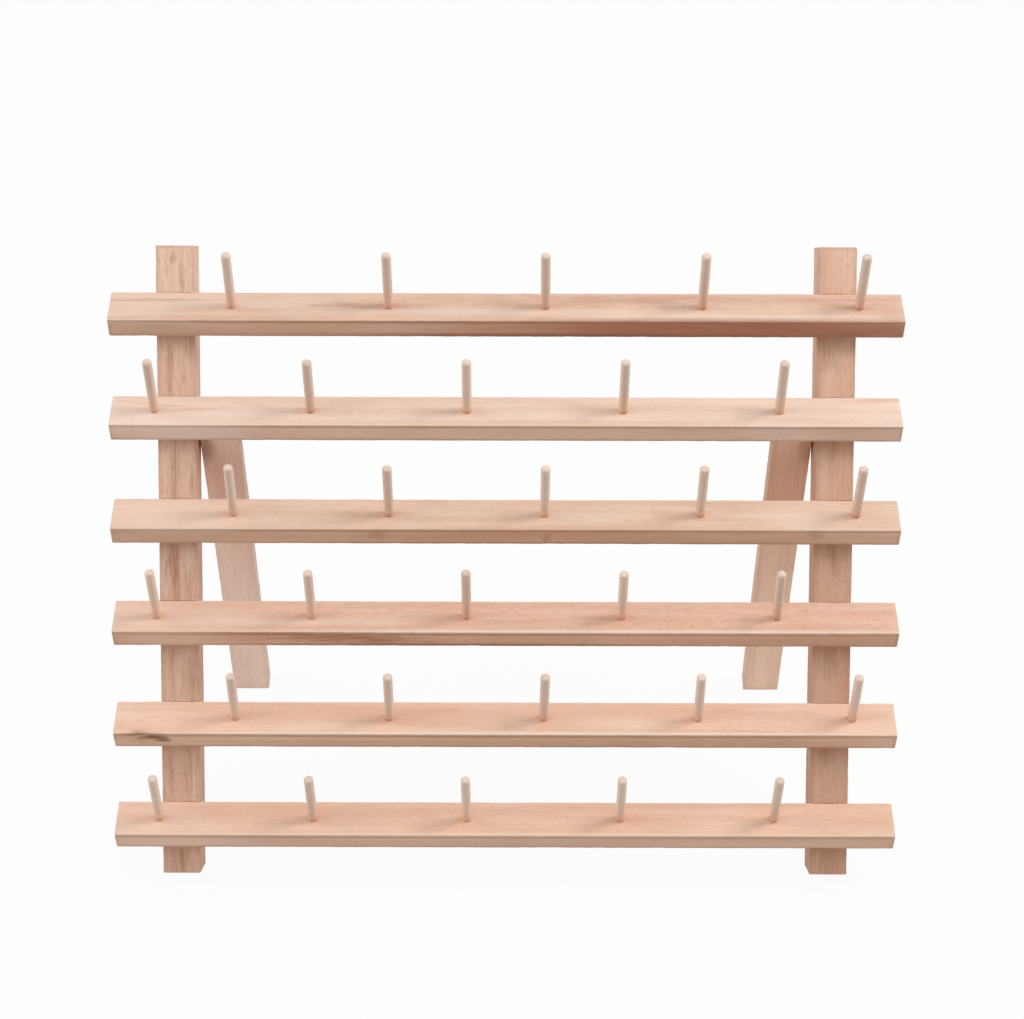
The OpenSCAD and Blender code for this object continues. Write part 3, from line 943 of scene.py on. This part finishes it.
# a leg's painted shadow lies this far below its top and this share of its width from its middle, and
# reaches this far along, across and inwards
LEG_SHADOW_DROP = 14.0
LEG_SHADOW_ASIDE = 0.44
LEG_SHADOW_REACH = (14, 6, 2 * SKIN)
# how far the fibres pull the rim of a mark about: of a stain, a line along an arris and a soft tone
RAGGED = 2.0
ARRIS_RAGGED = 0.8
EVEN = 0.3


def face_mark(code, x, y, along, across, amount, slope=0.0, ragged=RAGGED):
    """A mark on the broad face of a rail."""
    return Mark(code, (x, y, RAIL_SIZE.z / 2), (along, across, SKIN), (0, slope, 0), amount, ragged)


def edge_mark(code, x, z, along, across, amount, slope=0.0, ragged=RAGGED):
    """A mark on the front edge of a rail."""
    return Mark(code, (x, -RAIL_SIZE.y / 2, z), (along, SKIN, across), (0, 0, slope), amount, ragged)


def face_tone(*mark):
    """A soft change of tone on the broad face of a rail."""
    return face_mark(*mark, ragged=EVEN)


def edge_tone(*mark):
    """A soft change of tone on the front edge of a rail."""
    return edge_mark(*mark, ragged=EVEN)


def upright_mark(code, x, y, along, across, amount, slope=0.0):
    """A mark on the front of an upright, with x up the upright and y to the left."""
    return Mark(code, (x, y, UPRIGHT_SIZE.z / 2), (along, across, 2 * SKIN), (0, slope, 0), amount, RAGGED)


def under_rail_shade_marks(code, side, along, amount):
    """Painted shade that darkens an upright just under each rail."""
    reach = (along, ALL, 2 * SKIN)
    lips = [corner.x / MM - LIP_DROP for corner in notch_corners(side)[0]]
    return [Mark(code, (x, 0, UPRIGHT_SIZE.z / 2), reach, (0, 0, 0), amount, EVEN) for x in lips]


def leg_top_shadow_mark(code, side, amount):
    """A brown painted shadow on the front of a leg, at the outer side of its top, beside its upright."""
    centre = (LEG_SIZE.x / 2 - LEG_SHADOW_DROP, -SIDES[side] * LEG_SIZE.y * LEG_SHADOW_ASIDE, LEG_SIZE.z / 2)
    return Mark(code, centre, LEG_SHADOW_REACH, (0, 0, 0), amount, EVEN)


def shade_mark(code, x, along, amount):
    """A slow change of tone along a strip."""
    return Mark(code, (x, 0, 0), (along, ALL, ALL), (0, 0, 0), amount, EVEN)


LOOKS = {
    "rail_1": Look((0, 100, 30), (0, 188, 15), 0.05, 0.8, narrow=0.85, marks=(
        # paler left end: painted light
        face_tone("F8DCCB", -200, 0, 80, 14, 0.4),
        face_tone("F8DCCB", -125, 1.5, 60, 4, 0.45),
        face_tone("FAE0D0", 0, -4, 120, 3, 0.45),
        # painted highlight along the front arris
        face_mark("FCE6D6", 110, -8, 95, 2.8, 0.7, ragged=ARRIS_RAGGED),
        face_mark("C2937A", -145, -8.5, 65, 2.2, 0.5),
        face_mark("C99C82", 48, 5, 110, 6.5, 0.6),
        face_mark("B8886C", 70, 5.5, 50, 2.6, 0.45),
        face_mark("BC8C72", -72, 1, 40, 2.0, 0.6, -0.02),
        face_mark("B8886E", -178, 4.5, 34, 1.3, 0.6),
        face_mark("C0927A", 165, 5.5, 36, 1.5, 0.45),
        edge_tone("A36649", 112, 0, 140, 9, 0.88),
        edge_mark("A26C50", 193, 0, 10, 8, 0.5),
        edge_mark("8F5C44", 130, 2.4, 30, 1.6, 0.4, -0.03),
        edge_tone("96634A", 0, 4.3, 230, 1.1, 0.5),
        edge_tone("8A5840", 25, -4.3, 130, 1.9, 0.8),
        edge_mark("8A5840", 172, -3.2, 28, 2.2, 0.6),
    )),
    "rail_2": Look((310, -70, 80), (0, -230, 60), -0.08, 0.5, narrow=0.92, marks=(
        # paler left end: painted light
        face_tone("FAE3D4", -200, 0, 80, 14, 0.4),
        face_mark("D0A68C", -176, 4, 26, 1.4, 0.45, -0.12),
        face_mark("D0A68C", -158, 0.5, 22, 1.3, 0.4, 0.1),
        face_mark("CDA084", 188, 8.4, 16, 1.4, 0.5),
        face_tone("D8B8A0", 10, -8.3, 140, 2.4, 0.4),
        # paler left end of the front edge: painted light
        edge_tone("FAE3D4", -160, 0, 40, 8, 0.33),
        edge_tone("FAE3D4", 142, 0, 24, 8, 0.22),
        edge_tone("A67E66", 0, 4.2, 260, 0.9, 0.4),
        edge_tone("A67E66", 0, -4.9, 260, 0.9, 0.4),
    )),
    "rail_3": Look((-250, 60, 160), (0, 180, 140), 0.0, 0.7, narrow=0.8, marks=(
        # paler towards both ends: painted light
        face_tone("F8DCCB", -168, -1, 48, 14, 0.45),
        face_tone("F8DCCB", 152, 0, 28, 14, 0.45),
        edge_tone("C08A66", 20, 0, 150, 8, 0.4),
        edge_mark("A87256", -65, 1, 5, 4, 0.6),
        edge_mark("A87256", 21, -1, 2.5, 4, 0.6),
        edge_mark("9C6A50", 157, 1.5, 5, 3, 0.6),
        edge_tone("9A6A50", 0, 4.2, 260, 0.9, 0.4),
        edge_tone("9A6A50", 40, -4.8, 170, 1.1, 0.55),
    )),
    "rail_4": Look((540, -160, -90), (0, -260, -75), 0.04, 1.0, fleck=0.3, marks=(
        # paler left end: painted light
        face_tone("F8DCCB", -200, 0, 90, 14, 0.5),
        face_tone("FBE0D0", -95, -3.5, 65, 3, 0.5),
        face_mark("D8A88C", -50, 7.2, 60, 2.6, 0.45),
        # painted highlight along the front arris
        face_mark("FBE4D4", 50, -9.6, 190, 1.3, 0.75, ragged=ARRIS_RAGGED),
        # paler left end of the front edge: painted light
        edge_tone("F2D0BA", -168, 0, 34, 8, 0.4),
        edge_mark("98603F", -78, 0.4, 40, 4.4, 0.8, -0.04),
        edge_tone("A06C50", 0, 3.7, 260, 1.2, 0.6),
        edge_tone("8F5E46", -20, -4.4, 110, 1.5, 0.65),
    )),
    "rail_5": Look((-420, 210, -60), (0, 280, -80), 0.0, 0.8, marks=(
        face_tone("DBA88A", -10, 3, 150, 7, 0.3),
        # painted highlight along the front arris
        face_mark("FCE6D6", 10, -9.6, 220, 1.2, 0.7, ragged=ARRIS_RAGGED),
        edge_tone("CDB9AA", 0, -1, 300, 7, 0.22),
        edge_tone("F0D0B8", -95, 1.8, 90, 2.2, 0.3),
        edge_tone("A06C50", 20, 3.7, 240, 1.2, 0.65),
        edge_tone("A06C50", 0, -4.9, 260, 0.9, 0.45),
        edge_mark("B07C5E", 60, -1, 90, 4, 0.4),
        edge_mark("A47250", -180, 1.2, 11, 3.8, 0.75),
        edge_mark("8A5A3C", -187, 4.7, 9, 1.0, 0.8, ragged=ARRIS_RAGGED),
        edge_mark("7E4E32", -178, 1.4, 8, 2.4, 0.85),
        edge_mark("6E4228", -175, 0.6, 5, 1.8, 0.8),
    )),
    "rail_6": Look((150, -230, 200), (0, -330, 185), 0.0, 0.9, marks=(
        # paler left end: painted light
        face_tone("F8DCCB", -200, 0, 70, 14, 0.25),
        # painted highlight along the front arris
        face_mark("FCE6D6", 0, -9.7, 230, 1.2, 0.6, ragged=ARRIS_RAGGED),
        edge_tone("CDB9AA", 0, -1, 300, 9, 0.32),
        # paler left end of the front edge: painted light
        edge_tone("F0D2BC", -168, 0, 48, 6, 0.33),
        edge_tone("A07458", 0, 3.7, 260, 1.1, 0.55),
        edge_tone("A87C62", 0, -4.9, 260, 0.9, 0.4),
    )),
    "upright_left": Look((700, 40, 300), (0, 120, 270), 0.05, 1.0, narrow=0.1, dirt=0.7, fleck=0.42, marks=(
        # painted shade under each rail
        *under_rail_shade_marks("7E4E38", "left", 9, 0.4),
        # darker towards the bottom of the upright: painted shade
        shade_mark("B98A70", -165, 260, 0.4),
        upright_mark("96603F", 155.5, 0.8, 3.2, 2.0, 0.6),
        upright_mark("B07C5C", 148, -3.4, 12, 2.0, 0.4),
        upright_mark("A8704F", 100, 3.2, 20, 2.2, 0.55),
        upright_mark("B07C5C", 110, -7.2, 8, 3.0, 0.5),
        upright_mark("A06848", 95, -4.2, 4, 2.0, 0.5),
        upright_mark("A06848", 47, 1, 22, 2.2, 0.55),
        upright_mark("A8704F", 42, -8, 8, 2.4, 0.45),
        upright_mark("98603F", 2, 3, 13, 4.4, 0.65),
        upright_mark("A06848", -12, 1, 18, 2.6, 0.55, 0.06),
        upright_mark("A8704F", -10, -5.6, 12, 3.4, 0.45),
        upright_mark("A8704F", -58, -5.6, 15, 4.6, 0.6),
        upright_mark("A8704F", -54, 4, 18, 2.0, 0.4),
        upright_mark("A06848", -108, -4.2, 17, 2.4, 0.5),
        upright_mark("A8704F", -108, 5.4, 15, 2.0, 0.45),
        upright_mark("A06848", -155, 2, 11, 7, 0.55),
    )),
    "upright_right": Look((-650, -110, 260), (0, -190, 235), 0, 0.9, narrow=0.1, dirt=0.7, fleck=0.36, marks=(
        # painted shade under each rail
        *under_rail_shade_marks("744630", "right", 11, 0.45),
        # darker towards the bottom of the upright: painted shade
        shade_mark("B4866A", -165, 260, 0.5),
        upright_mark("A87A5C", 106, 4, 8, 4.5, 0.5),
        upright_mark("A87A5C", 60, 2, 12, 5, 0.35),
        upright_mark("A07050", 3.5, -0.3, 13, 3.2, 0.5, 0.2),
        upright_mark("A87A5C", -50, 1, 12, 6, 0.35),
        upright_mark("9A6C52", -99, 2, 6, 4.5, 0.5),
        upright_mark("A07050", -155, 0, 11, 8, 0.4),
    )),
    "leg_left": Look((420, 130, -260), (0, 250, -300), -0.15, 0.5, narrow=0.6, dirt=0.4, marks=(
        # darker at the top, under the rail: painted shade
        shade_mark("D5A388", LEG_SIZE.x / 2, 110, 0.3),
        # painted shadow at the top of the leg
        leg_top_shadow_mark("7A4428", "left", 0.6),
    )),
    "leg_right": Look((-330, -190, -310), (0, -290, -330), -0.1, 0.6, narrow=0.6, dirt=0.4, marks=(
        # darker at the top, under the rail: painted shade
        shade_mark("CE9673", LEG_SIZE.x / 2, 120, 0.5),
        # painted shadow at the top of the leg
        leg_top_shadow_mark("8A5434", "right", 0.45),
    )),
    # a turned peg is painted darker at its front and back, a painted shade
    "pegs": Look((0, 0, 0), (0, 400, 300), -0.1, 0.4, end=0.0, narrow=0.8, fleck=0.15),
}


# Operators

# points round the section of a strip, and the seeds of each kind of piece
AROUND = 64
SEEDS = {"rail": 3, "upright": 31, "leg": 47, "pegs": 11, "rail_screws": 5, "pivot_screws": 8}
# an old knot has broken out of the front edge of this rail, near its left end, which has a finer mesh for it
KNOT_RAIL = 5
KNOT = {
    "Around": 144, "Station": 1.0 * MM, "Chip Depth": 0.7 * MM,
    "Chip Place": Vector((-179, -10.6, 2.2)) * MM, "Chip Reach": Vector((11, 2.6, 3.2)) * MM,
}
# seats of the rail screws' heads, and the bore that a leg turns on with the seat of its screw's head
RAIL_SINK = {"Sink Diameter": 7.4 * MM, "Sink Depth": 1.75 * MM}
PIVOT_HOLE = {"Bore": 4.12 * MM, "Sink Diameter": 9.0 * MM, "Sink Depth": 2.4 * MM}


def make_strip(wood, node, turn, body, tree, seed, sizes, points=()):
    """Makes the strip of a CAD node in beech and puts it where the node is, in its mesh."""
    place, size = seat(node, turn)
    material = sanded_beech("sanded_beech_" + node, place, getattr(wood, node), LOOKS[node])
    given = {
        "Length": size.x, "Width": size.y, "Thickness": size.z, "Around": AROUND, "Station": wood.station,
        "Arris": wood.arris, "End Ease": wood.end_ease, "Wear": wood.wear, "Chip Reach": (1.0, 1.0, 1.0),
        "Seed": float(seed), "Material": material,
    }
    piece = grow("beech_" + node, tree, {**given, **sizes}, points)
    piece.data.transform(place)
    piece.data.update()
    finish_piece(piece, body, [node])


class RACK_OT_rails(bpy.types.Operator):
    """Six planed beech rails, tilted in the notches of the uprights"""

    bl_idname = "spool_rack.rails"
    bl_label = "Rails"

    def execute(self, context):
        tree = shared("planed_strip", strip_tree)
        for r in RAILS:
            knot = KNOT if r == KNOT_RAIL else {}
            seed = SEEDS["rail"] * r
            make_strip(context.scene.rack_wood, "rail_%d" % r, RAIL_TURN, "frame", tree, seed, knot)
        return {"FINISHED"}


class RACK_OT_uprights(bpy.types.Operator):
    """Two square beech uprights, notched for the rails and countersunk behind for their screws"""

    bl_idname = "spool_rack.uprights"
    bl_label = "Uprights"

    def execute(self, context):
        tree = shared("notched_upright", upright_tree)
        turn = (UPRIGHT_TURN.transposed() @ RAIL_TURN).to_euler()
        for side, sign in SIDES.items():
            corners, rail = notch_corners(side)
            # the cutter of a notch goes well past the sides and the front of the upright
            notch = {"Notch Size": (4 * rail.y, rail.y, 2 * rail.z), "Notch Turn": turn}
            points = [(corner, (0, 0, 1)) for corner in corners]
            make_strip(
                context.scene.rack_wood, "upright_" + side, UPRIGHT_TURN, "frame", tree,
                SEEDS["upright"] + sign, {**notch, **RAIL_SINK}, points,
            )
        return {"FINISHED"}


class RACK_OT_legs(bpy.types.Operator):
    """Two beech legs that swing behind the rack, each on its own body"""

    bl_idname = "spool_rack.legs"
    bl_label = "Legs"

    def execute(self, context):
        wood = context.scene.rack_wood
        tree = shared("folding_leg", leg_tree)
        for side, sign in SIDES.items():
            node = "leg_" + side
            place, _ = seat(node, LEG_TURN)
            pivot = place.inverted() @ Vector((place.translation.x, PIVOT.y, PIVOT.z))
            sizes = {"Nose": wood.nose, "Inner": float(-sign), **PIVOT_HOLE}
            seed = SEEDS["leg"] + sign
            make_strip(wood, node, LEG_TURN, node, tree, seed, sizes, [(pivot, (0, 0, 1))])
        return {"FINISHED"}


class RACK_OT_pegs(bpy.types.Operator):
    """Thirty turned beech pegs, standing square on the rails"""

    bl_idname = "spool_rack.pegs"
    bl_label = "Pegs"

    def execute(self, context):
        wood = context.scene.rack_wood
        pins = [mount for mount in frame["record"]["mounts"] if mount["kind"] == "pin"]
        feet = []
        for pin in pins:
            axis = Vector(pin["axis"])
            foot = Vector(pin["pos_m"]) - axis * pin["dims"]["length_mm"] * MM / 2
            feet.append((foot, axis))
        # the pegs are alike, so the last one gives the height of all
        tall = max((v.co - foot).dot(axis) for v in frame["nodes"][pin["name"]].data.vertices)
        sizes = {
            "Diameter": 2 * pins[0]["dims"]["r_mm"] * MM, "Length": tall, "Foot Ease": wood.foot_ease,
            "Seed": SEEDS["pegs"], "Material": turned_beech(wood),
        }
        piece = grow("beech_pegs", shared("turned_peg", peg_tree), sizes, feet)
        finish_piece(piece, "frame", [pin["name"] for pin in pins])
        return {"FINISHED"}


class RACK_OT_screws(bpy.types.Operator):
    """Zinc-plated screws: twelve behind the uprights, and a pivot screw and a washer for each leg"""

    bl_idname = "spool_rack.screws"
    bl_label = "Screws and washers"

    def execute(self, context):
        steel = context.scene.rack_steel
        zinc = zinc_plated_steel("zinc_plated_steel", tuple(steel.tone))
        # the pivot screws and washers take the brown tint, a painted shade
        shade_tinted = zinc_plated_steel("shade_tinted_zinc_plated_steel", tuple(steel.shade_tinted))
        tree = shared("countersunk_screw", screw_tree)
        recess = {
            "Rim": steel.rim, "Recess Width": steel.recess_width, "Recess Depth": steel.recess_depth,
        }
        heads = []
        for side in SIDES:
            place, size = seat("upright_" + side, UPRIGHT_TURN)
            for corner in notch_corners(side)[0]:
                heads.append((place @ Vector((corner.x, 0, -size.z / 2)), BACK))
        _, size = seat("rail_screws_left", UPRIGHT_TURN)
        sizes = {
            "Diameter": steel.rail_screw, "Head Diameter": size.y, "Length": size.z,
            "Seed": SEEDS["rail_screws"], "Material": zinc,
        }
        piece = grow("zinc_rail_screws", tree, {**recess, **sizes}, heads)
        finish_piece(piece, "frame", ["rail_screws_" + side for side in SIDES])

        pivots = []
        discs = []
        for side, sign in SIDES.items():
            low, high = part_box("pivot_screw_" + side)
            plate_low, plate_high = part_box("washer_" + side)
            inner = high.x if sign < 0 else low.x
            middle = (plate_low.x + plate_high.x) / 2
            pivots.append((Vector((inner, PIVOT.y, PIVOT.z)), (-sign, 0, 0)))
            discs.append((Vector((middle, PIVOT.y, PIVOT.z)), (-sign, 0, 0)))
        # both sides are alike, so the last one gives the sizes
        sizes = {
            "Diameter": steel.pivot_screw, "Head Diameter": high.z - low.z, "Length": high.x - low.x,
            "Seed": SEEDS["pivot_screws"], "Material": shade_tinted,
        }
        piece = grow("zinc_pivot_screws", tree, {**recess, **sizes}, pivots)
        finish_piece(piece, "frame", ["pivot_screw_" + side for side in SIDES])
        sizes = {
            "Diameter": plate_high.z - plate_low.z, "Bore": steel.washer_bore,
            "Thickness": plate_high.x - plate_low.x, "Roll": steel.washer_roll, "Material": shade_tinted,
        }
        piece = grow("zinc_washers", shared("pressed_washer", washer_tree), sizes, discs)
        finish_piece(piece, "frame", ["washer_" + side for side in SIDES])
        return {"FINISHED"}


# half the width of the floor
FLOOR_REACH = 6.0
PAPER = "F4F4F3"
# share of plain white in the paper as it is seen, while the rest shows the shadow
PAPER_GLOW = 0.94
# the softboxes aim at this point from their spots, and each is a square of this size
LIT_POINT = Vector((0.0, 0.0, 0.15))
RIGHT_BOX = {"spot": Vector((0.75, -0.10, 1.15)), "size": 0.36}
LEFT_BOX = {"spot": Vector((-1.00, -0.10, 0.90)), "size": 1.0}
# width of the camera's sensor in millimetres
SENSOR = 36.0


def seen_share(tree):
    """A node that is 1 for what the camera, a reflection or a clear surface sees, and 0 for light."""
    path = add(tree, "ShaderNodeLightPath").outputs
    other = add(tree, MATH, [path["Is Glossy Ray"], path["Is Transmission Ray"]], operation="MAXIMUM")
    return add(tree, MATH, [path["Is Camera Ray"], other], operation="MAXIMUM")


def bare_tree(owner):
    """The node tree of a material or a world, emptied."""
    owner.use_nodes = True
    owner.node_tree.nodes.clear()
    return owner.node_tree


def white_paper_sweep():
    """Matt white paper: it is seen as white, dimmed a little by what is left of the object's shadow."""
    paper = bpy.data.materials.new("white_paper_sweep")
    tree = bare_tree(paper)
    matt = add(tree, "ShaderNodeBsdfDiffuse", {"Color": (*linear(PAPER), 1)})
    glow = add(tree, "ShaderNodeEmission", {"Color": WHITE, "Strength": 1.0})
    share = add(tree, MATH, [seen_share(tree), PAPER_GLOW], operation="MULTIPLY")
    both = add(tree, "ShaderNodeMixShader", [share, matt, glow])
    add(tree, "ShaderNodeOutputMaterial", {"Surface": both})
    return paper


class RACK_OT_stage(bpy.types.Operator):
    """A white floor and room, two softboxes and the camera"""

    bl_idname = "spool_rack.stage"
    bl_label = "Stage"

    def execute(self, context):
        scene = context.scene
        stage = scene.rack_stage
        scene.view_settings.view_transform = "Standard"

        mesh = bpy.data.meshes.new("floor")
        corners = [(x * FLOOR_REACH, y * FLOOR_REACH, 0.0) for x, y in ((-1, -1), (1, -1), (1, 1), (-1, 1))]
        mesh.from_pydata(corners, [], [(0, 1, 2, 3)])
        mesh.materials.append(white_paper_sweep())
        floor = bpy.data.objects.new("floor", mesh)
        scene.collection.objects.link(floor)

        world = bpy.data.worlds.new("white_room")
        tree = bare_tree(world)
        strength = add(tree, RANGE, {"Value": seen_share(tree), "To Min": stage.sky, "To Max": 1.0})
        room = add(tree, "ShaderNodeBackground", {"Color": WHITE, "Strength": strength})
        add(tree, "ShaderNodeOutputWorld", {"Surface": room})
        scene.world = world

        softboxes = {"right": (stage.right_power, RIGHT_BOX), "left": (stage.left_power, LEFT_BOX)}
        for side, (watts, box) in softboxes.items():
            lamp = bpy.data.lights.new("softbox_" + side, "AREA")
            lamp.energy = watts
            lamp.size = box["size"]
            holder = bpy.data.objects.new("softbox_" + side, lamp)
            holder.location = box["spot"]
            holder.rotation_euler = (LIT_POINT - box["spot"]).to_track_quat("-Z", "Y").to_euler()
            scene.collection.objects.link(holder)

        lens = bpy.data.cameras.new("camera")
        lens.lens = stage.lens
        lens.sensor_width = SENSOR
        camera = bpy.data.objects.new("camera", lens)
        camera.location = stage.camera_place
        camera.rotation_euler = stage.camera_turn
        scene.collection.objects.link(camera)
        scene.camera = camera
        return {"FINISHED"}


class RACK_PT_panel(bpy.types.Panel):
    """Lists the pieces of the rack"""

    bl_idname = "RACK_PT_panel"
    bl_label = "Spool rack"
    bl_space_type = "VIEW_3D"
    bl_region_type = "UI"
    bl_category = "Spool rack"

    def draw(self, context):
        for operator in OPERATORS:
            self.layout.operator(operator.bl_idname)
        for group in SETTINGS:
            settings = getattr(context.scene, group)
            for key in settings.bl_rna.properties.keys():
                if key not in ("rna_type", "name"):
                    self.layout.prop(settings, key)


OPERATORS = (RACK_OT_rails, RACK_OT_uprights, RACK_OT_legs, RACK_OT_pegs, RACK_OT_screws, RACK_OT_stage)
SETTINGS = {"rack_wood": WoodSettings, "rack_steel": SteelSettings, "rack_stage": StageSettings}
CLASSES = (*SETTINGS.values(), *OPERATORS, RACK_PT_panel)


def register():
    for cls in CLASSES:
        bpy.utils.register_class(cls)
    for name, cls in SETTINGS.items():
        setattr(bpy.types.Scene, name, bpy.props.PointerProperty(type=cls))


def unregister():
    for name in SETTINGS:
        delattr(bpy.types.Scene, name)
    for cls in reversed(CLASSES):
        bpy.utils.unregister_class(cls)


def main():
    register()
    bpy.ops.spool_rack.rails()
    bpy.ops.spool_rack.uprights()
    bpy.ops.spool_rack.legs()
    bpy.ops.spool_rack.pegs()
    bpy.ops.spool_rack.screws()
    bpy.ops.spool_rack.stage()


if __name__ == "__main__":
    main()
